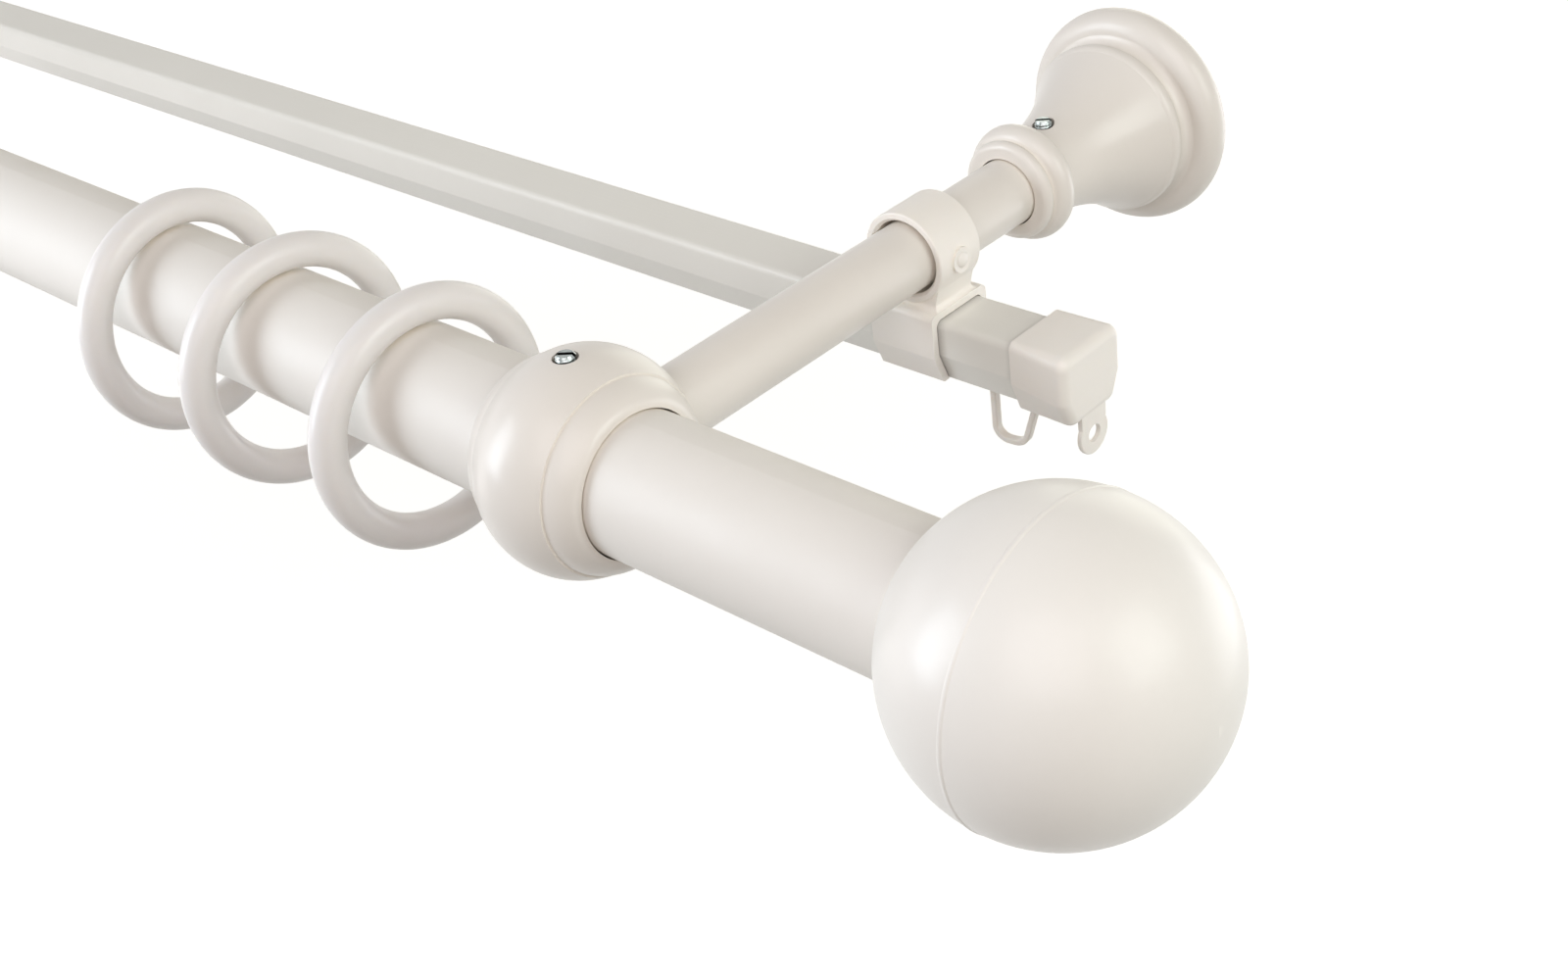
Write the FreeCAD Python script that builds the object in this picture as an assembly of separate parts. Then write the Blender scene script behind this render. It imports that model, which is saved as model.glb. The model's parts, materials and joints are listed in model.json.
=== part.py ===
"""Double curtain rod set: a round front pole with ball finials and rings, and a slotted rail behind it.

Two brackets carry both. Each is a turned wall base on a hidden wall plate, a round arm, a ball-shaped
holder that the pole passes through, and a moulded clip under the arm that grips the rail.

Frame: +X along the pole to its right end, +Y into the wall, +Z up. The wall is the plane y = 0, and the
origin is midway between the two brackets at the height of the pole's axis. Millimetres.
"""
import FreeCAD, Part
import math
import os

# ---------------------------------------------------------------- whole set
pole_length = 1000.0
pole_diameter = 28.0
pole_wall = 1.0
pole_overhang = 84.0          # pole end beyond the bracket's centre line
projection = 176.0            # pole axis to the wall
rail_behind_pole = 97.2       # rail's middle behind the pole's axis
seat_gap = 0.3                # between pieces that rest on or slide along each other
press_gap = 0.05              # radial, between pieces pressed together
turn_gap = 0.08               # radial, round a screw that turns
screw_end_gap = 0.2           # tip of a screw or pin to what it clamps
slide_gap = 0.2               # between the gliders' shoes and the rail's lips
pick_tolerance = 0.01         # when edges are picked by place

# ---------------------------------------------------------------- arm
arm_diameter = 15.0
arm_wall = 1.2
arm_in_base = 30.0            # arm's back end inside the wall base
arm_plug_length = 12.0

# ---------------------------------------------------------------- pole holder
holder_diameter = 44.2
holder_length = 29.2
holder_ridge_x = 9.2          # fine step round each shoulder
holder_ridge_radius = 19.3
holder_step = 0.4
holder_shoulder_radius = 17.7
holder_shoulder_x = 12.3
holder_lip_radius = 16.3
holder_lip_roll = 1.4         # how far the lip's rounded edge reaches in
holder_lip_depth = 0.6        # and back along the pole
holder_bore_gap = 0.35        # radial, round the pole
holder_wall_at_socket = 3.0   # left between bore and arm socket

# ---------------------------------------------------------------- wall base, s measured from the wall
base_length = 50.1
base_flange_radius = 25.2
base_flange_thickness = 8.0
base_flange_roll = 4.6        # how far the flange's rounded edge reaches in
base_crease_s = 10.3          # crease between the flange and the bell's rim
base_crease_radius = 18.8
base_rim_s = 12.1             # crown of the bell's rounded rim
base_rim_radius = 19.8
base_bell_s = 14.0            # where the bell turns from its rim to hollow
base_bell_radius = 19.0
base_neck_radius = 9.9
base_bead_from_front = 5.9    # bead's crown behind the collar's front
base_bead_radius = 13.3
base_bead_half = 3.3
base_lip_radius = 11.3
base_bore_gap = 0.3
base_cavity_radius = 21.0
base_cavity_depth = 6.5
base_cone_radius = 15.5
base_cone_depth = 22.0
base_screw_from_front = 14.5

# ---------------------------------------------------------------- wall plate
plate_gap = 0.3
plate_thickness = 3.0
plate_hole_spacing = 28.0
plate_hole_diameter = 4.5
plate_countersink_diameter = 8.6
spigot_gap = 0.3
spigot_length = 42.0
spigot_groove_depth = 0.7
spigot_groove_length = 7.0
spigot_chamfer = 1.0

# ---------------------------------------------------------------- screws
set_screw_diameter = 4.8
holder_screw_stand = 0.9      # proud of the surface
base_screw_stand = 2.4
set_screw_slot_width = 0.9
set_screw_slot_depth = 1.1
set_screw_chamfer = 0.5
set_screw_slot_turn = 35.0    # degrees, where each slot came to rest
bolt_diameter = 5.0
bolt_head_diameter = 9.0
bolt_head_height = 2.0
bolt_length = 15.0
bolt_recess_diameter = 3.5
bolt_recess_depth = 1.6

# ---------------------------------------------------------------- ball finial
finial_diameter = 56.0
finial_wall = 2.5
finial_seam_offset = 0.8      # seam behind the ball's centre
finial_ridge_height = 0.15
finial_ridge_width = 0.9
finial_lip = 0.5              # rim round the pole at the ball's mouth
finial_socket_depth = 2.5
finial_floor = 4.0
finial_register_depth = 4.0
finial_register_wall = 1.2
plug_length = 24.0
plug_rib_count = 5
plug_rib_depth = 0.7
finial_screw_diameter = 4.0
finial_screw_length = 18.0
finial_screw_head_diameter = 8.0
finial_screw_head_height = 2.6
finial_screw_head_round = 0.9

# ---------------------------------------------------------------- rings
ring_inner_diameter = 40.5
ring_section = 7.5
ring_offsets = (47.6, 92.3, 134.7)   # from the bracket, inwards
ring_turns = (-2.1, -2.5, 3.3)       # each ring hangs slightly askew, degrees

# ---------------------------------------------------------------- rail
rail_width = 14.8
rail_height = 14.6
rail_top = 12.5               # rail's top below the pole's axis
rail_wall = 1.1
rail_side = 7.9               # upright part of the side, below it the side slants in
rail_foot_width = 9.8
rail_slot = 5.0
rail_corner = 1.6
rail_past_bracket = 40.4

# ---------------------------------------------------------------- rail clip
clip_collar_gap = 0.8         # the collar is loose on the arm, its pin holds it
clip_collar_wall = 1.9
clip_length = 13.0            # along the arm
clip_neck_length = 11.8
clip_neck_top_half = 9.9      # half widths of the neck, from the collar down
clip_neck_waist_half = 8.3
clip_neck_foot_half = 7.1
clip_neck_fillet = 1.1
clip_collar_edge = 0.4        # rounding of the collar outside
clip_collar_chamfer = 0.6     # and chamfer inside
saddle_length = 17.0          # along the rail
saddle_wall = 1.6
saddle_gap = 0.15
saddle_corner = 1.5
saddle_foot_corner = 0.4
saddle_lip = 0.9              # how far each leg hooks under the rail
clip_boss_diameter = 5.6
clip_boss_height = 0.4
clip_pin_drop = 0.6           # pin below the arm's axis
clip_pin_diameter = 2.6
clip_pin_head_diameter = 3.4
clip_pin_head_height = 0.6

# ---------------------------------------------------------------- end cap
cap_length = 14.3
cap_end_wall = 2.2
cap_wall = 1.3
cap_foot_wall = 0.9           # under the rail
cap_flare = 1.3               # how far each side swells towards the end
cap_end_side = 9.6            # upright part of the side at the end, longer than at the mouth
cap_end_foot_width = 14.6
cap_gap = 0.15
cap_corner = 1.7              # at the mouth
cap_foot_corner = 0.8
cap_end_corner = 3.0          # at the end
cap_edge = 2.2                # rounding of the end's edge
cap_inner_corner = 0.4
eyelet_diameter = 9.5
eyelet_hole_diameter = 4.0
eyelet_drop = 4.5             # eyelet's centre below the cap
eyelet_thickness = 1.1
eyelet_set_back = 0.3         # its face behind the cap's end
eyelet_neck_width = 8.2
eyelet_edge = 0.3             # rounding of its outline

# ---------------------------------------------------------------- glider
glider_strap = 1.4
glider_breadth = 2.1          # across the rail
glider_depth = 15.3           # below the rail, to the strap's underside
glider_width = 10.6           # between the legs' middles at the rail
glider_foot = 7.1             # flat of the loop, between its corners
glider_bend_drop = 3.2        # where the leaning leg turns upright, below the rail
glider_from_cap = 0.4
glider_corner = 3.2
glider_swing = 6.0            # loop turned a little in the slot, degrees
shoe_height = 2.2
shoe_edge = 0.6

# ---------------------------------------------------------------- worked out
bracket_spacing = pole_length - 2 * pole_overhang
pole_radius = pole_diameter / 2
arm_radius = arm_diameter / 2
arm_bore = arm_radius - arm_wall
holder_bore = pole_radius + holder_bore_gap
socket_floor = holder_bore + holder_wall_at_socket
arm_front = socket_floor
arm_back = projection - base_length + arm_in_base
base_bead_s = base_length - base_bead_from_front
base_screw_s = base_length - base_screw_from_front
rail_bottom = rail_top + rail_height
rail_past_half = bracket_spacing / 2 + rail_past_bracket
cap_inner_end = rail_past_bracket + cap_end_wall - cap_length
sides = (("right", 1), ("left", -1))

V = FreeCAD.Vector
X_AXIS = V(1, 0, 0)
Y_AXIS = V(0, 1, 0)
Z_AXIS = V(0, 0, 1)


def cylinder(start, direction, radius, length):
    """Solid cylinder from a point along a direction."""
    return Part.makeCylinder(radius, length, start, direction)


def cone(start, direction, radius, end_radius, length):
    """Solid cone frustum from a point along a direction."""
    return Part.makeCone(radius, end_radius, length, start, direction)


def box(low, high):
    """Solid box between two corners."""
    return Part.makeBox(high.x - low.x, high.y - low.y, high.z - low.z, low)


def line(start, end):
    return Part.LineSegment(start, end).toShape()


def arc(start, middle, end):
    return Part.Arc(start, middle, end).toShape()


def turned(edges, axis):
    """Solid of revolution of a closed chain of edges about an axis through the origin."""
    face = Part.Face(Part.Wire(Part.__sortEdges__(edges)))
    return face.revolve(V(0, 0, 0), axis, 360)


def rounded_path(corners, closed=False):
    """Wire through (point, radius) corners, each rounded with a tangent arc where its radius isn't zero."""
    edges = []
    joins = []
    count = len(corners)
    for index, (point, radius) in enumerate(corners):
        if radius <= 0:
            joins.append((point, point))
            continue
        back = (corners[index - 1][0] - point).normalize()
        ahead = (corners[(index + 1) % count][0] - point).normalize()
        half = back.getAngle(ahead) / 2
        reach = radius / math.tan(half)
        centre = point + (back + ahead).normalize() * (radius / math.sin(half))
        middle = centre + (point - centre).normalize() * radius
        start = point + back * reach
        end = point + ahead * reach
        edges.append(arc(start, middle, end))
        joins.append((start, end))
    for index in range(count if closed else count - 1):
        edges.append(line(joins[index][1], joins[(index + 1) % count][0]))
    return Part.Wire(Part.__sortEdges__(edges))


def rounded_outline(corners):
    """Closed wire through (point, radius) corners."""
    return rounded_path(corners, closed=True)


def drawn_along(outline, vector):
    """Solid prism of a closed wire."""
    return Part.Face(outline).extrude(vector)


def rail_outline(x, half_width, top, side_end, half_foot, foot, radius, foot_radius):
    """Closed outline in a YZ plane: flat top, upright sides and sides that slant in to the foot."""
    corners = [
        (V(x, -half_width, -top), radius),
        (V(x, half_width, -top), radius),
        (V(x, half_width, -side_end), radius),
        (V(x, half_foot, -foot), foot_radius),
        (V(x, -half_foot, -foot), foot_radius),
        (V(x, -half_width, -side_end), radius),
    ]
    return rounded_outline(corners)


def rail_offset_outline(x, outward, foot_outward, radius, foot_radius):
    """The rail's outline moved outwards (or inwards, below zero) by one distance."""
    slant = math.atan2((rail_width - rail_foot_width) / 2, rail_height - rail_side)
    side_shift = outward * math.tan(slant / 2)
    foot_shift = outward / math.cos(slant) - foot_outward * math.tan(slant)
    return rail_outline(
        x,
        rail_width / 2 + outward,
        rail_top - outward,
        rail_top + rail_side + side_shift,
        rail_foot_width / 2 + foot_shift,
        rail_bottom + foot_outward,
        radius,
        foot_radius,
    )


# ---------------------------------------------------------------- pole and finials
def make_pole():
    """Round tube, open at both ends."""
    start = V(-pole_length / 2, -projection, 0)
    tube = cylinder(start, X_AXIS, pole_radius, pole_length)
    return tube.cut(cylinder(start, X_AXIS, pole_radius - pole_wall, pole_length))


def finial_centre():
    """Distance from the pole's end to the ball's centre."""
    mouth = pole_radius + press_gap + finial_lip
    return math.sqrt((finial_diameter / 2) ** 2 - mouth**2) - finial_socket_depth


def on_sphere(x, radius):
    """Point of the finial's profile at x on a sphere of this radius about the ball's centre."""
    return V(x, 0, math.sqrt(radius**2 - (x - finial_centre()) ** 2))


def make_finial_back():
    """Back half of the hollow ball: socket for the pole's end, thick floor with a screw hole."""
    seam = finial_centre() - finial_seam_offset
    outer = finial_diameter / 2
    inner = outer - finial_wall
    socket_radius = pole_radius + press_gap
    hole_radius = finial_screw_diameter / 2 + press_gap
    mouth = V(-finial_socket_depth, 0, socket_radius + finial_lip)
    outside_seam = on_sphere(seam, outer)
    inside_seam = on_sphere(seam, inner)
    inside_floor = on_sphere(finial_floor, inner)
    floor_hole = V(finial_floor, 0, hole_radius)
    socket_hole = V(0, 0, hole_radius)
    socket_floor_edge = V(0, 0, socket_radius)
    socket_mouth = V(-finial_socket_depth, 0, socket_radius)
    edges = [
        arc(mouth, on_sphere(seam / 2, outer), outside_seam),
        line(outside_seam, inside_seam),
        arc(inside_seam, on_sphere((seam + finial_floor) / 2, inner), inside_floor),
        line(inside_floor, floor_hole),
        line(floor_hole, socket_hole),
        line(socket_hole, socket_floor_edge),
        line(socket_floor_edge, socket_mouth),
        line(socket_mouth, mouth),
    ]
    return turned(edges, X_AXIS)


def make_finial_front():
    """Front half of the ball, with a fine ridge at the seam and a register ring inside the back half."""
    centre = finial_centre()
    seam = centre - finial_seam_offset
    outer = finial_diameter / 2
    inner = outer - finial_wall
    tip = V(centre + outer, 0, 0)
    inside_tip = V(centre + inner, 0, 0)
    ridge_front = on_sphere(seam + finial_ridge_width, outer)
    ridge_top = on_sphere(seam + finial_ridge_width / 2, outer + finial_ridge_height)
    ridge_back = on_sphere(seam, outer)
    register_back = seam - finial_register_depth
    register_radius = on_sphere(register_back, inner).z - press_gap
    bore = register_radius - finial_register_wall
    bore_end = on_sphere(centre + math.sqrt(inner**2 - bore**2), inner)
    edges = [
        arc(tip, on_sphere(centre + outer / 2, outer), ridge_front),
        arc(ridge_front, ridge_top, ridge_back),
        line(ridge_back, V(seam, 0, register_radius)),
        line(V(seam, 0, register_radius), V(register_back, 0, register_radius)),
        line(V(register_back, 0, register_radius), V(register_back, 0, bore)),
        line(V(register_back, 0, bore), bore_end),
        arc(bore_end, on_sphere((centre + inner + bore_end.x) / 2, inner), inside_tip),
        line(inside_tip, tip),
    ]
    return turned(edges, X_AXIS)


def make_finial_plug():
    """Plug pressed into the pole's end, with ribs round it and a hole for the finial's screw."""
    rib_radius = pole_radius - pole_wall - press_gap
    core_radius = rib_radius - plug_rib_depth
    pitch = plug_length / plug_rib_count
    plug = cylinder(V(-plug_length, 0, 0), X_AXIS, core_radius, plug_length)
    for index in range(plug_rib_count):
        start = V(-plug_length + index * pitch, 0, 0)
        plug = plug.fuse(cone(start, X_AXIS, core_radius, rib_radius, pitch))
    hole = cylinder(V(-plug_length, 0, 0), X_AXIS, finial_screw_diameter / 2 + press_gap, plug_length)
    return plug.cut(hole)


def make_finial_screw():
    """Pan-head screw through the ball's floor into the plug."""
    head = cylinder(V(finial_floor, 0, 0), X_AXIS, finial_screw_head_diameter / 2, finial_screw_head_height)
    rim = [edge for edge in head.Edges if edge.Closed and edge.BoundBox.XMin > finial_floor + pick_tolerance]
    head = head.makeFillet(finial_screw_head_round, rim)
    start = V(finial_floor - finial_screw_length, 0, 0)
    shank = cylinder(start, X_AXIS, finial_screw_diameter / 2, finial_screw_length)
    slot_depth = finial_screw_head_height / 2
    slot_start = finial_floor + finial_screw_head_height - slot_depth
    half_slot = set_screw_slot_width / 2
    half_head = finial_screw_head_diameter / 2
    slot = box(V(slot_start, -half_slot, -half_head), V(slot_start + slot_depth, half_slot, half_head))
    return head.fuse(shank).cut(slot)


# ---------------------------------------------------------------- rings
def make_ring(offset, turn):
    """Plain round ring that hangs on the pole, its inside just clear of the pole's top."""
    middle_radius = (ring_inner_diameter + ring_section) / 2
    drop = ring_inner_diameter / 2 - pole_radius - seat_gap
    ring = Part.makeTorus(middle_radius, ring_section / 2, V(0, 0, 0), X_AXIS)
    ring.rotate(V(0, 0, 0), Z_AXIS, turn)
    ring.translate(V(offset, -projection, -drop))
    return ring


# ---------------------------------------------------------------- bracket: holder, arm, base, wall plate
def from_wall(s, height):
    """Point in the bracket's middle plane, s in front of the wall."""
    return V(0, projection - s, height)


def make_pole_holder():
    """Turned ball with a stepped shoulder on each side, bored for the pole, with a socket for the arm."""
    half = holder_length / 2
    top = V(0, 0, holder_diameter / 2)
    edges = []
    for side in (1, -1):
        ridge = V(side * holder_ridge_x, 0, holder_ridge_radius)
        step = V(side * holder_ridge_x, 0, holder_ridge_radius - holder_step)
        shoulder = V(side * holder_shoulder_x, 0, holder_shoulder_radius)
        lip = V(side * (half - holder_lip_depth), 0, holder_lip_radius)
        lip_roll = V(side * (half - holder_lip_depth / 4), 0, holder_lip_radius - 0.45 * holder_lip_roll)
        lip_end = V(side * half, 0, holder_lip_radius - holder_lip_roll)
        mouth = V(side * half, 0, holder_bore)
        edges += [line(ridge, step), arc(step, shoulder, lip)]
        edges += [arc(lip, lip_roll, lip_end), line(lip_end, mouth)]
    right_ridge = V(holder_ridge_x, 0, holder_ridge_radius)
    left_ridge = V(-holder_ridge_x, 0, holder_ridge_radius)
    edges.append(arc(left_ridge, top, right_ridge))
    edges.append(line(V(-half, 0, holder_bore), V(half, 0, holder_bore)))
    ball = turned(edges, X_AXIS)
    reach = holder_diameter / 2
    socket = cylinder(V(0, socket_floor, 0), Y_AXIS, arm_radius + press_gap, reach)
    ball = ball.cut(socket)
    head_space = bolt_head_diameter / 2 + press_gap
    shank_space = bolt_diameter / 2 + press_gap
    head_start = V(0, pole_radius + seat_gap, 0)
    ball = ball.cut(cylinder(V(0, pole_radius, 0), Y_AXIS, shank_space, reach))
    ball = ball.cut(cone(head_start, Y_AXIS, head_space, shank_space, bolt_head_height))
    return ball.cut(set_screw_hole(reach))


def set_screw_hole(length):
    """Clear hole round a set screw, up from the axis of the tube that the screw clamps."""
    return cylinder(V(0, 0, 0), Z_AXIS, set_screw_diameter / 2 + turn_gap, length)


def make_set_screw(tip, top):
    """Slotted set screw along Z, from its tip to its slotted end."""
    radius = set_screw_diameter / 2
    screw = cylinder(V(0, 0, tip), Z_AXIS, radius, top - tip)
    screw = screw.makeChamfer(set_screw_chamfer, [edge for edge in screw.Edges if edge.Closed])
    half_slot = set_screw_slot_width / 2
    slot = box(V(-radius, -half_slot, top - set_screw_slot_depth), V(radius, half_slot, top))
    slot.rotate(V(0, 0, 0), Z_AXIS, set_screw_slot_turn)
    return screw.cut(slot)


def make_holder_bolt():
    """Countersunk screw from the holder's bore into the arm's plug."""
    head_start = pole_radius + seat_gap
    head_radius = bolt_head_diameter / 2
    head = cone(V(0, head_start, 0), Y_AXIS, head_radius, bolt_diameter / 2, bolt_head_height)
    shank = cylinder(V(0, head_start, 0), Y_AXIS, bolt_diameter / 2, bolt_length)
    recess = cylinder(V(0, head_start, 0), Y_AXIS, bolt_recess_diameter / 2, bolt_recess_depth)
    return head.fuse(shank).cut(recess)


def make_arm_plug():
    """Threaded plug pressed into the arm's front end."""
    plug = cylinder(V(0, arm_front, 0), Y_AXIS, arm_bore - press_gap, arm_plug_length)
    return plug.cut(cylinder(V(0, arm_front, 0), Y_AXIS, bolt_diameter / 2 + press_gap, arm_plug_length))


def make_arm():
    """Round tube from the holder's socket into the wall base, drilled for the base's set screw."""
    length = arm_back - arm_front
    tube = cylinder(V(0, arm_front, 0), Y_AXIS, arm_radius, length)
    tube = tube.cut(cylinder(V(0, arm_front, 0), Y_AXIS, arm_bore, length))
    hole = set_screw_hole(arm_diameter)
    hole.translate(from_wall(base_screw_s, 0))
    return tube.cut(hole)


def make_wall_base():
    """Turned base: rounded flange, crease, rim, hollow bell and a collar of two beads, open behind."""
    flange_middle = base_flange_radius - base_flange_roll
    half_flange = base_flange_thickness / 2
    diagonal = math.sqrt(0.5)
    bead_side = base_bead_radius - base_bead_half
    bead_back = base_bead_s - base_bead_half
    bead_front = base_bead_s + base_bead_half
    lip_middle = (bead_front + base_length) / 2
    bore = arm_radius + base_bore_gap
    flange_back = from_wall(0, flange_middle + 0.5 * base_flange_roll)
    back_roll = from_wall((1 - diagonal) * half_flange, flange_middle + 0.85 * base_flange_roll)
    flange_crown = from_wall(half_flange, base_flange_radius)
    front_roll = from_wall((1 + diagonal) * half_flange, flange_middle + diagonal * base_flange_roll)
    flange_front = from_wall(base_flange_thickness, flange_middle)
    crease = from_wall(base_crease_s, base_crease_radius)
    scoop = from_wall(
        base_flange_thickness + 0.3 * (base_crease_s - base_flange_thickness),
        base_crease_radius + 0.3 * (flange_middle - base_crease_radius),
    )
    rim_crown = from_wall(base_rim_s, base_rim_radius)
    bell = from_wall(base_bell_s, base_bell_radius)
    hollow = from_wall(
        base_bell_s + 0.37 * (bead_back - base_bell_s),
        base_neck_radius + 0.42 * (base_bell_radius - base_neck_radius),
    )
    neck = from_wall(bead_back, base_neck_radius)
    bead_foot = from_wall(bead_back, bead_side)
    bead_top = from_wall(base_bead_s, base_bead_radius)
    bead_end = from_wall(bead_front - 0.4, base_lip_radius + 0.1)
    lip_start = from_wall(bead_front, base_lip_radius - 0.4)
    lip_top = from_wall(lip_middle, base_lip_radius)
    lip_end = from_wall(base_length, base_lip_radius - 1.6)
    front_inner = from_wall(base_length, bore)
    cone_end = from_wall(base_cone_depth, bore)
    cone_start = from_wall(base_cavity_depth, base_cone_radius)
    cavity_corner = from_wall(base_cavity_depth, base_cavity_radius)
    cavity_mouth = from_wall(0, base_cavity_radius)
    edges = [
        line(cavity_mouth, flange_back),
        arc(flange_back, back_roll, flange_crown),
        arc(flange_crown, front_roll, flange_front),
        arc(flange_front, scoop, crease),
        arc(crease, rim_crown, bell),
        arc(bell, hollow, neck),
        line(neck, bead_foot),
        arc(bead_foot, bead_top, bead_end),
        line(bead_end, lip_start),
        arc(lip_start, lip_top, lip_end),
        line(lip_end, front_inner),
        line(front_inner, cone_end),
        line(cone_end, cone_start),
        line(cone_start, cavity_corner),
        line(cavity_corner, cavity_mouth),
    ]
    base = turned(edges, Y_AXIS)
    hole = set_screw_hole(base_flange_radius)
    hole.translate(from_wall(base_screw_s, 0))
    return base.cut(hole)


def make_wall_plate():
    """Disc with two countersunk wall-screw holes and a solid spigot that the arm slides over."""
    plate_radius = base_cavity_radius - plate_gap
    spigot_radius = arm_bore - spigot_gap
    toward_room = V(0, -1, 0)
    plate = cylinder(from_wall(0, 0), toward_room, plate_radius, plate_thickness)
    spigot = cylinder(from_wall(0, 0), toward_room, spigot_radius, spigot_length)
    front = from_wall(spigot_length, 0)
    front_edges = [edge for edge in spigot.Edges if abs(edge.BoundBox.YMax - front.y) < pick_tolerance]
    spigot = spigot.makeChamfer(spigot_chamfer, front_edges)
    groove_start = from_wall(base_screw_s - spigot_groove_length / 2, 0)
    groove = cylinder(groove_start, toward_room, spigot_radius + 1, spigot_groove_length)
    core = cylinder(groove_start, toward_room, spigot_radius - spigot_groove_depth, spigot_groove_length)
    spigot = spigot.cut(groove.cut(core))
    plate = plate.fuse(spigot)
    for side in (1, -1):
        height = side * plate_hole_spacing / 2
        start = from_wall(0, height)
        hole_radius = plate_hole_diameter / 2
        sink_radius = plate_countersink_diameter / 2
        sink_depth = sink_radius - hole_radius
        sink_start = from_wall(plate_thickness - sink_depth, height)
        plate = plate.cut(cylinder(start, toward_room, hole_radius, plate_thickness))
        plate = plate.cut(cone(sink_start, toward_room, hole_radius, sink_radius, sink_depth))
    return plate


# ---------------------------------------------------------------- rail, clip, cap and glider
def make_rail():
    """Thin-walled extrusion with a slot along its underside."""
    start = -rail_past_half
    length = V(2 * rail_past_half, 0, 0)
    inner_corner = rail_corner - rail_wall
    outside = rail_offset_outline(start, 0, 0, rail_corner, inner_corner)
    inside = rail_offset_outline(start, -rail_wall, -rail_wall, inner_corner, inner_corner / 2)
    half_slot = rail_slot / 2
    slot = box(V(start, -half_slot, -rail_bottom), V(-start, half_slot, -rail_bottom + 2 * rail_wall))
    rail = drawn_along(outside, length).cut(drawn_along(inside, length)).cut(slot)
    rail.translate(V(0, rail_behind_pole - projection, 0))
    return rail


def make_clip_neck(plate_top, sink):
    """Waisted block under the collar, from inside the collar's wall down into the saddle's plate."""
    half_length = clip_neck_length / 2
    foot = -plate_top
    left = []
    right = []
    for side, chain in ((-1, left), (1, right)):
        head = V(side * clip_neck_top_half, -half_length, 0)
        shoulder = V(side * clip_neck_top_half, -half_length, -0.2 * plate_top)
        waist = V(side * clip_neck_waist_half, -half_length, -0.55 * plate_top)
        ankle = V(side * clip_neck_foot_half, -half_length, foot)
        chain += [line(head, shoulder), arc(shoulder, waist, ankle), line(ankle, ankle - Z_AXIS * sink)]
    top = line(V(-clip_neck_top_half, -half_length, 0), V(clip_neck_top_half, -half_length, 0))
    low = foot - sink
    bottom = line(V(-clip_neck_foot_half, -half_length, low), V(clip_neck_foot_half, -half_length, low))
    outline = Part.Wire(Part.__sortEdges__(left + right + [top, bottom]))
    return drawn_along(outline, V(0, clip_neck_length, 0))


def make_rail_clip():
    """Moulded clip: collar round the arm, waisted neck, and a saddle whose legs hook under the rail."""
    bore = arm_radius + clip_collar_gap
    outer = bore + clip_collar_wall
    front = -clip_length / 2
    half_saddle = saddle_length / 2
    wall = saddle_gap + saddle_wall
    plate_top = rail_top - wall
    along_rail = V(saddle_length, 0, 0)
    shell_outline = rail_offset_outline(-half_saddle, wall, saddle_gap, saddle_corner, saddle_foot_corner)
    seat_outline = rail_offset_outline(-half_saddle, saddle_gap, saddle_gap, rail_corner, saddle_foot_corner)
    shell = drawn_along(shell_outline, along_rail)
    seat = drawn_along(seat_outline, along_rail)
    mouth = rail_foot_width / 2 - saddle_lip
    opening = box(V(-half_saddle, -mouth, -rail_bottom - wall), V(half_saddle, mouth, -rail_top - rail_side))
    body = shell.fuse(make_clip_neck(plate_top, saddle_wall / 2))
    on_plate = [edge for edge in body.Edges if edge.BoundBox.ZLength < pick_tolerance
                and abs(edge.BoundBox.ZMin + plate_top) < pick_tolerance]
    foot = [edge for edge in on_plate if abs(edge.CenterOfMass.x) < clip_neck_foot_half + pick_tolerance
            and abs(edge.CenterOfMass.y) < clip_neck_length / 2 + pick_tolerance]
    body = body.makeFillet(clip_neck_fillet, foot)
    collar = cylinder(V(0, front, 0), Y_AXIS, outer, clip_length)
    collar = collar.makeFillet(clip_collar_edge, [edge for edge in collar.Edges if edge.Closed])
    drop = -clip_pin_drop
    boss = cylinder(V(bore, 0, drop), X_AXIS, clip_boss_diameter / 2, clip_collar_wall + clip_boss_height)
    body = body.fuse(collar).fuse(boss).cut(seat).cut(opening)
    body = body.cut(cylinder(V(0, front, 0), Y_AXIS, bore, clip_length))
    for end, direction in ((front, Y_AXIS), (-front, -Y_AXIS)):
        mouth_radius = bore + clip_collar_chamfer
        body = body.cut(cone(V(0, end, 0), direction, mouth_radius, bore, clip_collar_chamfer))
    pin_space = clip_pin_diameter / 2 + press_gap
    body = body.cut(cylinder(V(0, 0, drop), X_AXIS, pin_space, outer + clip_boss_height))
    body.translate(V(0, rail_behind_pole, 0))
    return body


def make_clip_pin():
    """Round-headed pin pressed through the collar's flank, its tip at the arm."""
    collar = arm_radius + clip_collar_gap + clip_collar_wall
    head_start = collar + clip_boss_height + press_gap
    tip = arm_radius + screw_end_gap
    shank = cylinder(V(tip, 0, 0), X_AXIS, clip_pin_diameter / 2, head_start - tip)
    head_radius = clip_pin_head_diameter / 2
    height = clip_pin_head_height
    dome_radius = (head_radius**2 + height**2) / (2 * height)
    dome = Part.makeSphere(dome_radius, V(head_start + height - dome_radius, 0, 0))
    head = dome.common(cylinder(V(head_start, 0, 0), X_AXIS, head_radius, height))
    pin = head.fuse(shank)
    pin.translate(V(0, rail_behind_pole, -clip_pin_drop))
    return pin


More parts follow.
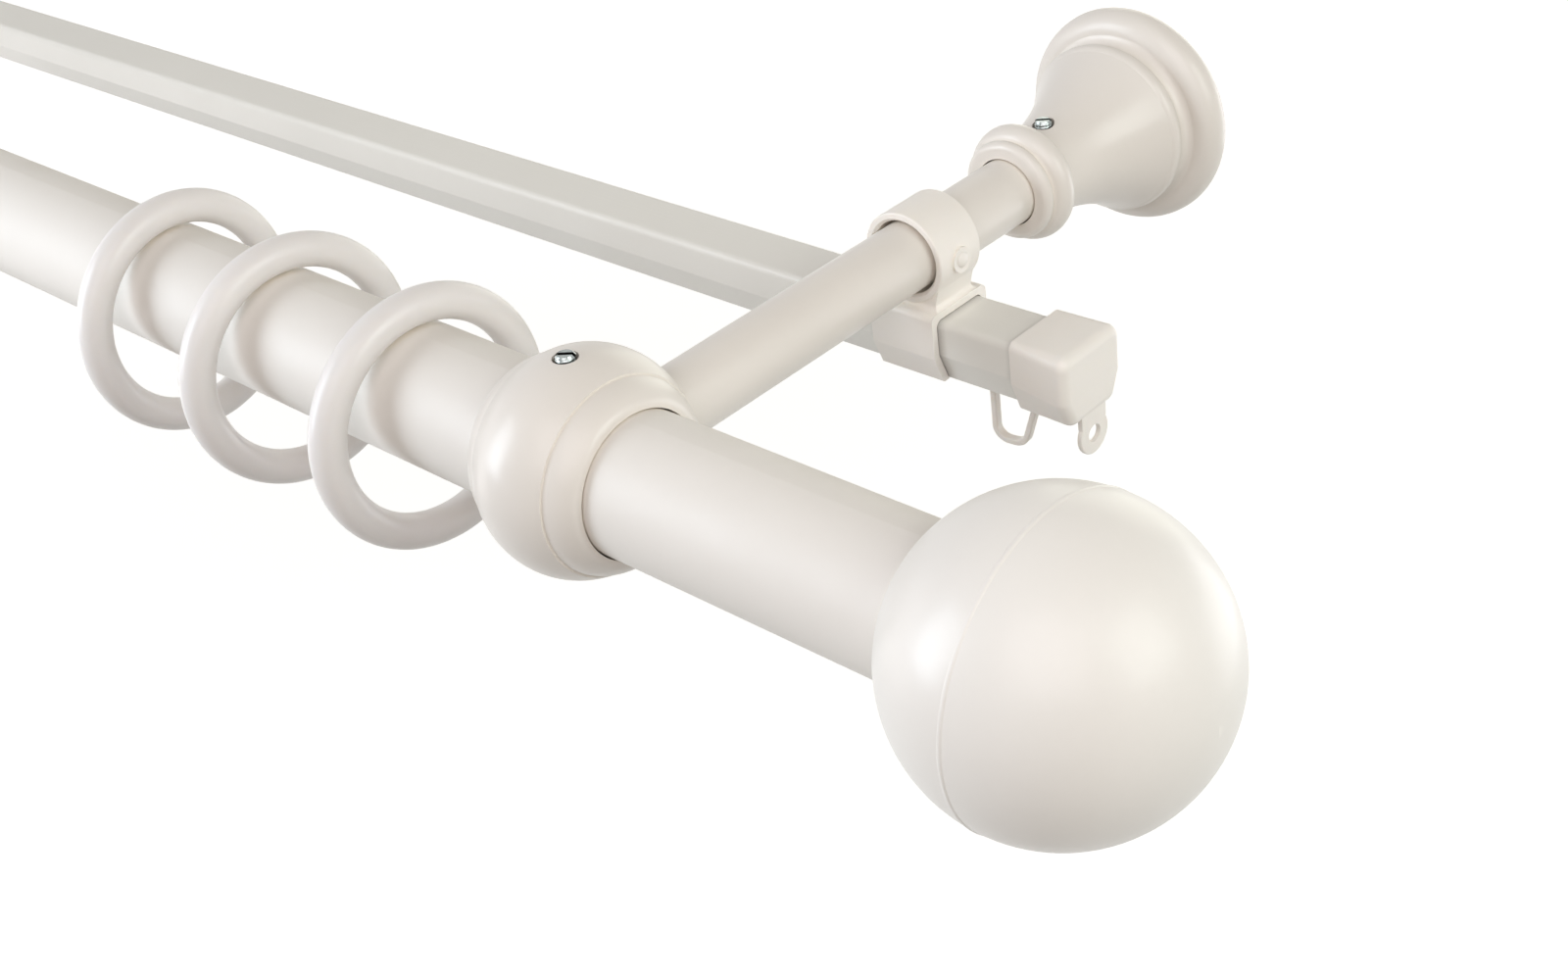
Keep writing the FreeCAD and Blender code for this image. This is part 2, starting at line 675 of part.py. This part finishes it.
def make_end_cap():
    """Cap over the rail's end, rounded outside, with an eyelet below its end wall."""
    outward = cap_wall + cap_gap
    end = cap_inner_end + cap_length
    mouth = rail_offset_outline(cap_inner_end, outward, cap_foot_wall, cap_corner, cap_foot_corner)
    far_end = rail_outline(
        end,
        rail_width / 2 + outward + cap_flare,
        rail_top - outward,
        rail_top - outward + cap_wall + cap_end_side,
        cap_end_foot_width / 2,
        rail_bottom + cap_foot_wall,
        cap_end_corner,
        cap_end_corner,
    )
    outside = Part.makeLoft([mouth, far_end], True, True)
    end_edges = [edge for edge in outside.Edges if edge.BoundBox.XMin > end - pick_tolerance]
    outside = outside.makeFillet(cap_edge, end_edges)
    hollow = rail_offset_outline(cap_inner_end, cap_gap, cap_gap, rail_corner, cap_inner_corner)
    cap = outside.cut(drawn_along(hollow, V(cap_length - cap_end_wall, 0, 0)))
    start = end - eyelet_set_back - eyelet_thickness
    radius = eyelet_diameter / 2
    height = -(rail_bottom + cap_foot_wall + eyelet_drop)
    eyelet = cylinder(V(start, 0, height), X_AXIS, radius, eyelet_thickness)
    eyelet = eyelet.makeFillet(eyelet_edge, [edge for edge in eyelet.Edges if edge.Closed])
    neck_half = eyelet_neck_width / 2
    neck_foot = height + math.sqrt(radius**2 - neck_half**2)
    neck_top = -rail_bottom + cap_end_wall
    neck = box(V(start, -neck_half, neck_foot), V(start + eyelet_thickness, neck_half, neck_top))
    hole_radius = eyelet_hole_diameter / 2
    eyelet = eyelet.fuse(neck).cut(cylinder(V(start, 0, height), X_AXIS, hole_radius, eyelet_thickness))
    cap = cap.fuse(eyelet)
    cap.translate(V(0, rail_behind_pole, 0))
    return cap


def make_glider():
    """Loop of strap below the rail, one leg upright and one leaning, on a shoe that runs inside the rail."""
    outer_x = cap_inner_end - glider_from_cap - glider_strap / 2
    inner_x = outer_x - glider_width
    floor = rail_bottom - rail_wall - slide_gap
    bottom = rail_bottom + glider_depth - glider_strap / 2
    bend = rail_bottom + glider_bend_drop
    path = rounded_path([
        (V(inner_x, 0, -floor), 0),
        (V(inner_x, 0, -bottom), glider_corner),
        (V(inner_x + glider_foot, 0, -bottom), glider_corner),
        (V(outer_x, 0, -bend), glider_corner),
        (V(outer_x, 0, -floor), 0),
    ])
    half_strap = glider_strap / 2
    half_breadth = glider_breadth / 2
    section = rounded_outline([
        (V(inner_x - half_strap, -half_breadth, -floor), half_strap / 2),
        (V(inner_x + half_strap, -half_breadth, -floor), half_strap / 2),
        (V(inner_x + half_strap, half_breadth, -floor), half_strap / 2),
        (V(inner_x - half_strap, half_breadth, -floor), half_strap / 2),
    ])
    loop = path.makePipeShell([section], True, True)
    loop.rotate(V(inner_x, 0, 0), Z_AXIS, glider_swing)
    slant = math.atan2((rail_width - rail_foot_width) / 2, rail_height - rail_side)
    half_shoe = rail_foot_width / 2 + rail_wall * math.tan(slant) - rail_wall / math.cos(slant) - seat_gap
    low = V(inner_x - half_strap, -half_shoe, -floor)
    shoe = box(low, V(outer_x + half_strap, half_shoe, -floor + shoe_height))
    upright = [edge for edge in shoe.Edges if edge.BoundBox.ZLength > pick_tolerance]
    shoe = shoe.makeFillet(shoe_edge, upright)
    glider = loop.fuse(shoe)
    glider.translate(V(0, rail_behind_pole, 0))
    return glider


# ---------------------------------------------------------------- assembly
def placed(shape, x, turned_round):
    """Copy moved from the bracket's own frame to x, turned half round about the vertical if asked."""
    copy = shape.copy()
    if turned_round:
        copy.rotate(V(0, rail_behind_pole, 0), Z_AXIS, 180)
    copy.translate(V(x, -projection, 0))
    return copy


def placed_on_end(shape, side):
    """Copy moved from the pole's end to the real end, turned half round on the left."""
    copy = shape.copy()
    if side < 0:
        copy.rotate(V(0, 0, 0), Z_AXIS, 180)
    copy.translate(V(side * pole_length / 2, -projection, 0))
    return copy


def build():
    """All nodes by name."""
    nodes = {"pole": make_pole(), "curtain_rail": make_rail()}
    holder_screw = make_set_screw(pole_radius + screw_end_gap, holder_diameter / 2 + holder_screw_stand)
    spigot_core = arm_bore - spigot_gap - spigot_groove_depth
    base_screw = make_set_screw(spigot_core + screw_end_gap, base_neck_radius + base_screw_stand)
    base_screw.translate(V(0, projection - base_screw_s, 0))
    on_bracket = {
        "pole_holder": make_pole_holder(),
        "holder_set_screw": holder_screw,
        "holder_bolt": make_holder_bolt(),
        "arm_plug": make_arm_plug(),
        "arm": make_arm(),
        "wall_base": make_wall_base(),
        "base_set_screw": base_screw,
        "wall_plate": make_wall_plate(),
    }
    on_rail = {
        "rail_clip": make_rail_clip(),
        "clip_pin": make_clip_pin(),
        "rail_end_cap": make_end_cap(),
        "glider": make_glider(),
    }
    on_pole_end = {
        "finial_back": make_finial_back(),
        "finial_front": make_finial_front(),
        "finial_plug": make_finial_plug(),
        "finial_screw": make_finial_screw(),
    }
    for side_name, side in sides:
        bracket_x = side * bracket_spacing / 2
        for name, shape in on_bracket.items():
            nodes[f"{name}_{side_name}"] = placed(shape, bracket_x, False)
        for name, shape in on_rail.items():
            nodes[f"{name}_{side_name}"] = placed(shape, bracket_x, side < 0)
        for name, shape in on_pole_end.items():
            nodes[f"{name}_{side_name}"] = placed_on_end(shape, side)
        for index, (offset, turn) in enumerate(zip(ring_offsets, ring_turns), start=1):
            nodes[f"ring_{side_name}_{index}"] = make_ring(bracket_x - side * offset, side * turn)
    return nodes


os.makedirs("parts", exist_ok=True)
for node_name, node_shape in build().items():
    node_shape.exportStep(f"parts/{node_name}.step")
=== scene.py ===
"""Looks of the double curtain rod set: enamel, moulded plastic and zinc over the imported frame.

Sizes are in metres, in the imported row's own frame: +X along the pole, +Y into the wall, +Z up.
"""
import json
import math

import bmesh
import bpy
from mathutils import Matrix, Vector


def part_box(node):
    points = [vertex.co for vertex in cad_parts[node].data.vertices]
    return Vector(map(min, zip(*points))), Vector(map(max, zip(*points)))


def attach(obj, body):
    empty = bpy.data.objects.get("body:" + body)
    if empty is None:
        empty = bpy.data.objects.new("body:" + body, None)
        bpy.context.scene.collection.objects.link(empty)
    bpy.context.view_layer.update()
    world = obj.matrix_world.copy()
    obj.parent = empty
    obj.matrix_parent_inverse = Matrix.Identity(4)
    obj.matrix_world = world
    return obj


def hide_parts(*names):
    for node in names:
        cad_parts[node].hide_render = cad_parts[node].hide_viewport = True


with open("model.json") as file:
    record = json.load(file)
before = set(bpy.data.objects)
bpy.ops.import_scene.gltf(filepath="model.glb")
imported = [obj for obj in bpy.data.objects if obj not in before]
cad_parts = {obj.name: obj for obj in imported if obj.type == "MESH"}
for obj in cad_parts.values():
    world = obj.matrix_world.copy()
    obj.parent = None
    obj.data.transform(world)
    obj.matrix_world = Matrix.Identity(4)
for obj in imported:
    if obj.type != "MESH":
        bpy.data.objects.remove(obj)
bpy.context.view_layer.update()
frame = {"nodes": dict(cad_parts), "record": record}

MM = 0.001

# ---------------------------------------------------------------- sizes of the set screws
SCREW_RADIUS = 2.0 * MM
SCREW_PITCH = 0.7 * MM
SCREW_THREAD = 0.28 * MM                   # depth of the thread
SCREW_CHAMFER = 0.35 * MM
SCREW_SINK = {                             # how far the top lies below the plain screw's
    "holder_set_screw": 0.30 * MM,
    "base_set_screw": 0.9 * MM,
}
SCREW_SIDES = 48
SCREW_ROWS_PER_TURN = 8
SCREW_SLOT_WIDTH = 0.9 * MM
SCREW_SLOT_DEPTH = 1.0 * MM
SCREW_SLOT_TURN = 35.0                     # degrees from the pole

# ---------------------------------------------------------------- camera, floor and light
CAMERA_PLACE = Vector((0.66835, -0.36349, 0.19180))
CAMERA_TURN = (56.563, 6.907, 42.481)      # degrees
CAMERA_LENS = 46.10                        # mm, on the sensor below
CAMERA_SENSOR = 36.0                       # mm wide
CAMERA_NEAR = 0.01
FLOOR_DROP = 0.45                          # floor below the pole's axis
FLOOR_SIZE = 14.0
FLOOR_COLOUR = (0.50, 0.495, 0.485)
FLOOR_MOTTLE_TONE = 0.995
FLOOR_MOTTLE_SIZE = 0.5
FLOOR_ROUGHNESS = 0.9
FLOOR_SHINE = 0.1
FLOOR_GLOW = 0.70                          # keeps the floor near white to the camera under the arm
SHADOW_REACH = (0.6, 1.6)                  # from the arm's middle: the glow's rise to 1
ROOM_LIGHT = (0.12, 0.105, 0.085)          # from every side
BAND_LIGHT = (0.38, 0.335, 0.28)           # warm bounce off the walls, above the horizon
BAND_HEIGHT = 0.4                          # sine of the band's elevation
BAND_WIDTH = 0.25
SOFTBOX_REACH = 1.0                        # from the arm's middle
SOFTBOXES = (
    # name, degrees to the camera's right and up, width, height, spread in degrees, watts, colour
    ("left_strip", -81, 6, 0.40, 0.65, 125, 2.75, (0.82, 0.91, 1.0)),
    ("left_back_softbox", -115, 5, 0.70, 0.70, 180, 1.6, (1.0, 0.96, 0.96)),
    ("front_softbox", -12, 6, 0.80, 0.80, 180, 4.0, (1.0, 0.94, 0.97)),
    ("right_softbox", 40, 9, 0.60, 0.60, 180, 4.2, (0.94, 1.0, 0.97)),
    ("right_back_softbox", 115, 5, 0.70, 0.70, 180, 3.2, (0.93, 0.95, 1.0)),
    ("high_back_softbox", 150, 40, 0.70, 0.70, 180, 1.8, (0.99, 1.0, 0.87)),
)

# ---------------------------------------------------------------- colours, linear
WHITE = (1.0, 1.0, 1.0)
POLE_WHITE = (0.815, 0.785, 0.74)
BRACKET_WHITE = (0.77, 0.73, 0.68)
FINIAL_WHITE = (0.84, 0.815, 0.775)
RING_WHITE = (0.805, 0.78, 0.765)
RAIL_WHITE = (0.82, 0.81, 0.765)
CLIP_WHITE = (0.885, 0.85, 0.80)
GLIDER_WHITE = (0.86, 0.825, 0.775)
PLUG_GREY = (0.30, 0.30, 0.30)
ZINC = (0.36, 0.39, 0.38)
STEEL = (0.45, 0.46, 0.47)
PAINTED_RECESS_SHADE = (0.03, 0.035, 0.03)          # painted shade, near black, in the slots and threads of screws

# ---------------------------------------------------------------- tones, and painted light and shade in creases
NOISE_MIDDLE = (0.3, 0.7)                  # where most of a noise's values lie
CLOUD_TONES = (0.975, 1.015)               # darkest and lightest, as shares of the colour
MOTTLE_TONE = 0.985
MOTTLE_STRENGTH = 0.35
SPANGLE_TONES = (0.88, 1.08)
CREASE_SAMPLES = 8
# painted light and shade where surfaces meet: reach in metres, openness at which it is full,
# strength and colour
# painted warm bounce light, lighter than the whites, in the gaps of the enamel and plastic parts
PAINTED_CREASE_LIGHT = (1.2 * MM, 0.0, 0.60, (0.96, 0.88, 0.76))
# painted shade, near black, in the rail's gaps and along the end cap's mouth
PAINTED_CREASE_SHADE = (2.4 * MM, 0.45, 0.62, (0.20, 0.19, 0.18))


# ---------------------------------------------------------------- shader nodes
def add_node(tree, kind, **settings):
    node = tree.nodes.new(kind)
    for key, value in settings.items():
        setattr(node, key, value)
    return node


def feed(tree, socket, value):
    """Links a source to the socket, or sets the socket to a colour or a number."""
    if isinstance(value, bpy.types.NodeSocket):
        tree.links.new(value, socket)
    elif isinstance(value, tuple):
        socket.default_value = (*value, 1)
    else:
        socket.default_value = value


def maths(tree, operation, first, second=0.0):
    node = add_node(tree, "ShaderNodeMath", operation=operation)
    feed(tree, node.inputs[0], first)
    feed(tree, node.inputs[1], second)
    return node.outputs[0]


def mapped(tree, source, from_range, to_range, interpolation="LINEAR"):
    """Maps one range of values to another, and holds the values beyond its ends."""
    node = add_node(tree, "ShaderNodeMapRange", interpolation_type=interpolation)
    feed(tree, node.inputs["Value"], source)
    names = ("From Min", "From Max", "To Min", "To Max")
    for name, value in zip(names, (*from_range, *to_range)):
        node.inputs[name].default_value = value
    return node.outputs["Result"]


def mixed(tree, factor, first, second):
    """Colour mix; factor, first and second are sockets or plain values."""
    node = add_node(tree, "ShaderNodeMix", data_type="RGBA")
    for index, value in ((0, factor), (6, first), (7, second)):
        feed(tree, node.inputs[index], value)
    return node.outputs[2]


def scaled(colour, factor):
    return tuple(channel * factor for channel in colour)


def object_place(tree, stretch=(1, 1, 1)):
    """Object coordinates in metres, scaled along each axis."""
    place = add_node(tree, "ShaderNodeTexCoord")
    mapping = add_node(tree, "ShaderNodeMapping")
    mapping.inputs["Scale"].default_value = stretch
    feed(tree, mapping.inputs["Vector"], place.outputs["Object"])
    return mapping.outputs["Vector"]


def noise(tree, size, detail=2.0, stretch=(1, 1, 1)):
    """Noise from 0 to 1 whose features are about this size."""
    node = add_node(tree, "ShaderNodeTexNoise")
    node.inputs["Scale"].default_value = 1 / size
    node.inputs["Detail"].default_value = detail
    feed(tree, node.inputs["Vector"], object_place(tree, stretch))
    return node.outputs["Fac"]


def ranged(tree, source, low, high):
    """Maps the middle of a noise to a range."""
    return mapped(tree, source, NOISE_MIDDLE, (low, high))


def creases(tree, distance, full=0.0):
    """1 in the open, falling to 0 in gaps and corners narrower than the distance."""
    node = add_node(tree, "ShaderNodeAmbientOcclusion", samples=CREASE_SAMPLES)
    node.inputs["Distance"].default_value = distance
    return mapped(tree, node.outputs["AO"], (full, 1.0), (0.0, 1.0))


def bumps(tree, *layers):
    """Normal from (height source, height in metres) layers, coarsest first."""
    normal = None
    for source, height in layers:
        node = add_node(tree, "ShaderNodeBump")
        node.inputs["Distance"].default_value = height
        node.inputs["Strength"].default_value = 1.0
        feed(tree, node.inputs["Height"], source)
        if normal:
            feed(tree, node.inputs["Normal"], normal)
        normal = node.outputs["Normal"]
    return normal


def toned(tree, colour, cloud_size, mottle_size, painted_crease=PAINTED_CREASE_LIGHT):
    """Colour with slow clouds of tone, a fine mottle and painted crease light where surfaces meet:
    warm bounce light by default, painted shade when given the rail's dark crease.
    """
    clouds = ranged(tree, noise(tree, cloud_size), 0.0, 1.0)
    mottle = ranged(tree, noise(tree, mottle_size, detail=4.0), 0.0, MOTTLE_STRENGTH)
    dark, light = CLOUD_TONES
    base = mixed(tree, clouds, scaled(colour, dark), scaled(colour, light))
    base = mixed(tree, mottle, base, scaled(colour, MOTTLE_TONE))
    # the given crease colour is painted into gaps as light or shade, faded in as they narrow
    reach, full, strength, painted_crease_colour = painted_crease
    with_painted_crease = mixed(tree, strength, base, painted_crease_colour)
    return mixed(tree, creases(tree, reach, full), with_painted_crease, base)


def seen_directly(tree):
    """1 for camera, glossy and transmission rays, otherwise 0."""
    path = add_node(tree, "ShaderNodeLightPath")
    total = path.outputs["Is Camera Ray"]
    for name in ("Is Glossy Ray", "Is Transmission Ray"):
        total = maths(tree, "MAXIMUM", total, path.outputs[name])
    return total


# ---------------------------------------------------------------- materials
def new_material(name):
    """New material, its node tree and its Principled shader."""
    material = bpy.data.materials.new(name)
    material.use_nodes = True
    tree = material.node_tree
    return material, tree, tree.nodes["Principled BSDF"]


def finish_surface(tree, shader, colour, roughness, normal):
    feed(tree, shader.inputs["Base Color"], colour)
    feed(tree, shader.inputs["Roughness"], roughness)
    feed(tree, shader.inputs["Normal"], normal)


def enamel(name, colour, roughness, coat, shine=0.5):
    """Sprayed satin enamel on metal: orange peel under a thin coat."""
    material, tree, shader = new_material(name)
    shader.inputs["Specular IOR Level"].default_value = shine
    shader.inputs["Coat Weight"].default_value = coat
    shader.inputs["Coat Roughness"].default_value = 0.18
    # toned() paints warm bounce light into the gaps
    tones = toned(tree, colour, cloud_size=60 * MM, mottle_size=2.2 * MM)
    smears = noise(tree, 14 * MM, detail=5.0)
    gloss = ranged(tree, smears, roughness - 0.04, roughness + 0.06)
    waves = noise(tree, 9 * MM, detail=1.0)
    peel = noise(tree, 1.3 * MM, detail=1.0)
    normal = bumps(tree, (waves, 0.02 * MM), (peel, 0.008 * MM))
    finish_surface(tree, shader, tones, gloss, normal)
    return material


def extruded_enamel(name, colour, roughness):
    """Powder coat over an extrusion: faint die lines along the rail under a fine grain."""
    material, tree, shader = new_material(name)
    # painted shade in the rail's gaps, from the dark crease colour
    tones = toned(tree, colour, cloud_size=90 * MM, mottle_size=1.6 * MM, painted_crease=PAINTED_CREASE_SHADE)
    smears = noise(tree, 20 * MM, detail=5.0)
    gloss = ranged(tree, smears, roughness - 0.03, roughness + 0.06)
    die_lines = noise(tree, 0.7 * MM, stretch=(0.004, 1, 1))
    grain = noise(tree, 0.5 * MM)
    normal = bumps(tree, (die_lines, 0.02 * MM), (grain, 0.004 * MM))
    finish_surface(tree, shader, tones, gloss, normal)
    return material


def moulded(name, colour, roughness, softness):
    """Moulded plastic: soft light inside, slight sinks and a fine spark-eroded grain."""
    material, tree, shader = new_material(name)
    shader.inputs["Subsurface Weight"].default_value = softness
    shader.inputs["Subsurface Radius"].default_value = (1.0, 0.8, 0.6)
    shader.inputs["Subsurface Scale"].default_value = 1.2 * MM
    # toned() paints warm bounce light into the gaps
    tones = toned(tree, colour, cloud_size=25 * MM, mottle_size=1.5 * MM)
    smears = noise(tree, 8 * MM, detail=4.0)
    gloss = ranged(tree, smears, roughness - 0.04, roughness + 0.06)
    sinks = noise(tree, 7 * MM, detail=1.0)
    grain = noise(tree, 0.4 * MM)
    normal = bumps(tree, (sinks, 0.03 * MM), (grain, 0.004 * MM))
    finish_surface(tree, shader, tones, gloss, normal)
    return material


def plated(name, colour, roughness):
    """Zinc plate on steel: spangle in the tone, fine turning marks and painted shade in recesses.
    """
    material, tree, shader = new_material(name)
    shader.inputs["Metallic"].default_value = 1.0
    spangle = add_node(tree, "ShaderNodeTexVoronoi")
    spangle.inputs["Scale"].default_value = 1 / (0.8 * MM)
    feed(tree, spangle.inputs["Vector"], object_place(tree))
    crystals = ranged(tree, spangle.outputs["Distance"], 0.0, 1.0)
    dark, light = SPANGLE_TONES
    base = mixed(tree, crystals, scaled(colour, dark), scaled(colour, light))
    openness = ranged(tree, creases(tree, 1.6 * MM), 0.0, 1.0)
    # painted shade: recesses turn near black as they close in
    tones = mixed(tree, openness, PAINTED_RECESS_SHADE, base)
    smears = noise(tree, 1.2 * MM, detail=4.0)
    gloss = ranged(tree, smears, roughness - 0.06, roughness + 0.10)
    scratches = noise(tree, 0.3 * MM, detail=3.0, stretch=(1, 1, 4))
    normal = bumps(tree, (scratches, 0.01 * MM))
    finish_surface(tree, shader, tones, gloss, normal)
    return material


FINISHES = {
    "pole_enamel": enamel("pole_enamel_paint", POLE_WHITE, 0.46, coat=0.0, shine=0.35),
    "white_enamel": enamel("bracket_enamel_paint", BRACKET_WHITE, 0.36, coat=0.18),
    "finial_shell": enamel("finial_paint", FINIAL_WHITE, 0.38, coat=0.18),
    "rail_enamel": extruded_enamel("rail_powder_coat", RAIL_WHITE, 0.38),
    "ring_plastic": moulded("ring_moulding", RING_WHITE, 0.32, softness=0.10),
    "clip_plastic": moulded("clip_moulding", CLIP_WHITE, 0.40, softness=0.08),
    "glider_plastic": moulded("glider_nylon", GLIDER_WHITE, 0.42, softness=0.20),
    "plug_plastic": moulded("plug_moulding", PLUG_GREY, 0.5, softness=0.0),
    "zinc_steel": plated("zinc_plate", ZINC, 0.17),
    "plain_steel": plated("plain_plate", STEEL, 0.34),
}


def dress_nodes():
    """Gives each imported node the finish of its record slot."""
    slot_of = {part["node"]: part["material_slot"] for part in frame["record"]["subparts"]}
    for name, node in frame["nodes"].items():
        node.data.materials.clear()
        node.data.materials.append(FINISHES[slot_of[name]])


# ---------------------------------------------------------------- set screws
def wave(turns):
    """Triangle wave from 0 to 1 and back over one turn."""
    part = turns % 1.0
    return 2 * min(part, 1 - part)


def thread_radius(height, side):
    """Radius of a thread that climbs one pitch in a turn."""
    crest = wave(height / SCREW_PITCH - side / SCREW_SIDES)
    return SCREW_RADIUS - SCREW_THREAD * (1 - crest)


def add_row(shape, height, radii):
    """Row of vertices round the axis, one for each radius."""
    row = []
    for side, radius in enumerate(radii):
        angle = 2 * math.pi * side / SCREW_SIDES
        place = (radius * math.cos(angle), radius * math.sin(angle), height)
        row.append(shape.verts.new(place))
    return row


def linked_object(name, shape):
    """New object in the scene with the shape as its mesh."""
    linked = bpy.data.objects.new(name, bpy.data.meshes.new(name))
    shape.to_mesh(linked.data)
    shape.free()
    bpy.context.scene.collection.objects.link(linked)
    return linked


def threaded_screw(name, place, tip, top):
    """Set screw with a rolled thread, a chamfered end and a slot, upright at the place."""
    shape = bmesh.new()
    threaded = top - SCREW_CHAMFER - tip
    steps = int(threaded / (SCREW_PITCH / SCREW_ROWS_PER_TURN))
    rows = []
    for step in range(steps + 1):
        height = tip + threaded * step / steps
        radii = [thread_radius(height, side) for side in range(SCREW_SIDES)]
        rows.append(add_row(shape, height, radii))
    end_radius = SCREW_RADIUS - SCREW_THREAD - SCREW_CHAMFER / 2
    rows.append(add_row(shape, top, [end_radius] * SCREW_SIDES))
    for low, high in zip(rows, rows[1:]):
        for side in range(SCREW_SIDES):
            after = (side + 1) % SCREW_SIDES
            shape.faces.new((low[side], low[after], high[after], high[side]))
    shape.faces.new(rows[0][::-1])
    shape.faces.new(rows[-1])
    screw = linked_object(name, shape)
    cut_slot(screw, top)
    screw.data.transform(Matrix.Translation(place))
    return screw


def cut_slot(screw, top):
    """Cuts the slot for a flat driver across the screw's top."""
    shape = bmesh.new()
    turn = Matrix.Rotation(math.radians(SCREW_SLOT_TURN), 4, "Z")
    size = Matrix.Diagonal((4 * SCREW_RADIUS, SCREW_SLOT_WIDTH, 2 * SCREW_SLOT_DEPTH, 1))
    bmesh.ops.create_cube(shape, size=1, matrix=Matrix.Translation((0, 0, top)) @ turn @ size)
    cutter = linked_object("slot_cutter", shape)
    cut = screw.modifiers.new("slot", "BOOLEAN")
    cut.operation = "DIFFERENCE"
    cut.object = cutter
    bpy.context.view_layer.update()
    whole = screw.evaluated_get(bpy.context.evaluated_depsgraph_get())
    screw.data = bpy.data.meshes.new_from_object(whole)
    screw.modifiers.clear()
    bpy.data.objects.remove(cutter)


def make_set_screws():
    """Threaded screws in place of the plain ones, each turning with its own joint."""
    for side in ("right", "left"):
        for kind, sink in SCREW_SINK.items():
            node = f"{kind}_{side}"
            low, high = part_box(node)
            middle = (low + high) / 2
            place = (middle.x, middle.y, 0)
            screw = threaded_screw(f"{node}_threaded", place, low.z, high.z - sink)
            screw.data.materials.clear()
            screw.data.materials.append(FINISHES["zinc_steel"])
            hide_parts(node)
            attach(screw, node)


# ---------------------------------------------------------------- stage
def arm_middle():
    """Middle of the right arm, which the light and the shadow are laid out round."""
    return sum(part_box("arm_right"), Vector()) / 2


def floor_material():
    """Matt paper that is white to the camera, but for the object's shadow."""
    material, tree, shader = new_material("floor_paper")
    shader.inputs["Roughness"].default_value = FLOOR_ROUGHNESS
    shader.inputs["Specular IOR Level"].default_value = FLOOR_SHINE
    mottle = ranged(tree, noise(tree, FLOOR_MOTTLE_SIZE), 0.0, 1.0)
    paper = mixed(tree, mottle, scaled(FLOOR_COLOUR, FLOOR_MOTTLE_TONE), FLOOR_COLOUR)
    feed(tree, shader.inputs["Base Color"], paper)
    feed(tree, shader.inputs["Emission Color"], WHITE)
    place = add_node(tree, "ShaderNodeTexCoord")
    away = add_node(tree, "ShaderNodeVectorMath", operation="DISTANCE")
    feed(tree, away.inputs[0], place.outputs["Object"])
    away.inputs[1].default_value = (*arm_middle().xy, -FLOOR_DROP)
    rise = mapped(tree, away.outputs["Value"], SHADOW_REACH, (FLOOR_GLOW, 1.0), "SMOOTHSTEP")
    glow = maths(tree, "MULTIPLY", seen_directly(tree), rise)
    feed(tree, shader.inputs["Emission Strength"], glow)
    return material


def make_floor():
    mesh = bpy.data.meshes.new("floor")
    half = FLOOR_SIZE / 2
    outline = ((-half, -half), (half, -half), (half, half), (-half, half))
    mesh.from_pydata([(x, y, -FLOOR_DROP) for x, y in outline], [], [(0, 1, 2, 3)])
    mesh.materials.append(floor_material())
    floor = bpy.data.objects.new("floor", mesh)
    bpy.context.scene.collection.objects.link(floor)


def background(tree, colour, strength=1.0):
    node = add_node(tree, "ShaderNodeBackground")
    feed(tree, node.inputs["Color"], colour)
    feed(tree, node.inputs["Strength"], strength)
    return node.outputs[0]


def make_world():
    """Dim room with a warm band above the horizon, seen as white."""
    world = bpy.data.worlds.new("studio")
    bpy.context.scene.world = world
    world.use_nodes = True
    tree = world.node_tree
    direction = add_node(tree, "ShaderNodeTexCoord")
    axes = add_node(tree, "ShaderNodeSeparateXYZ")
    feed(tree, axes.inputs[0], direction.outputs["Generated"])
    above = maths(tree, "SUBTRACT", axes.outputs["Z"], BAND_HEIGHT)
    off = maths(tree, "DIVIDE", above, BAND_WIDTH)
    squared = maths(tree, "MULTIPLY", off, off)
    band = maths(tree, "EXPONENT", maths(tree, "MULTIPLY", squared, -1.0))
    lit = add_node(tree, "ShaderNodeAddShader")
    feed(tree, lit.inputs[0], background(tree, ROOM_LIGHT))
    feed(tree, lit.inputs[1], background(tree, BAND_LIGHT, band))
    mix = add_node(tree, "ShaderNodeMixShader")
    feed(tree, mix.inputs[0], seen_directly(tree))
    feed(tree, mix.inputs[1], lit.outputs[0])
    feed(tree, mix.inputs[2], background(tree, WHITE))
    feed(tree, tree.nodes["World Output"].inputs["Surface"], mix.outputs[0])


def make_camera():
    data = bpy.data.cameras.new("camera")
    data.lens = CAMERA_LENS
    data.sensor_width = CAMERA_SENSOR
    data.clip_start = CAMERA_NEAR
    camera = bpy.data.objects.new("camera", data)
    camera.location = CAMERA_PLACE
    camera.rotation_euler = [math.radians(angle) for angle in CAMERA_TURN]
    bpy.context.scene.collection.objects.link(camera)
    bpy.context.scene.camera = camera
    return camera


def make_softboxes(camera):
    """Softboxes round the right arm, placed from the camera's side of it."""
    target = arm_middle()
    turn = camera.rotation_euler.to_matrix()
    for name, right, up, width, height, spread, watts, colour in SOFTBOXES:
        right, up = math.radians(right), math.radians(up)
        level = math.cos(up)
        toward = Vector((math.sin(right) * level, math.sin(up), math.cos(right) * level))
        data = bpy.data.lights.new(name, "AREA")
        data.shape = "RECTANGLE"
        data.size = width
        data.size_y = height
        data.spread = math.radians(spread)
        data.energy = watts
        data.color = colour
        lamp = bpy.data.objects.new(name, data)
        lamp.visible_camera = False
        lamp.location = target + turn @ toward * SOFTBOX_REACH
        lamp.rotation_euler = (target - lamp.location).to_track_quat("-Z", "Y").to_euler()
        bpy.context.scene.collection.objects.link(lamp)


dress_nodes()
make_set_screws()
make_floor()
make_world()
make_softboxes(make_camera())
bpy.context.scene.view_settings.view_transform = "Standard"
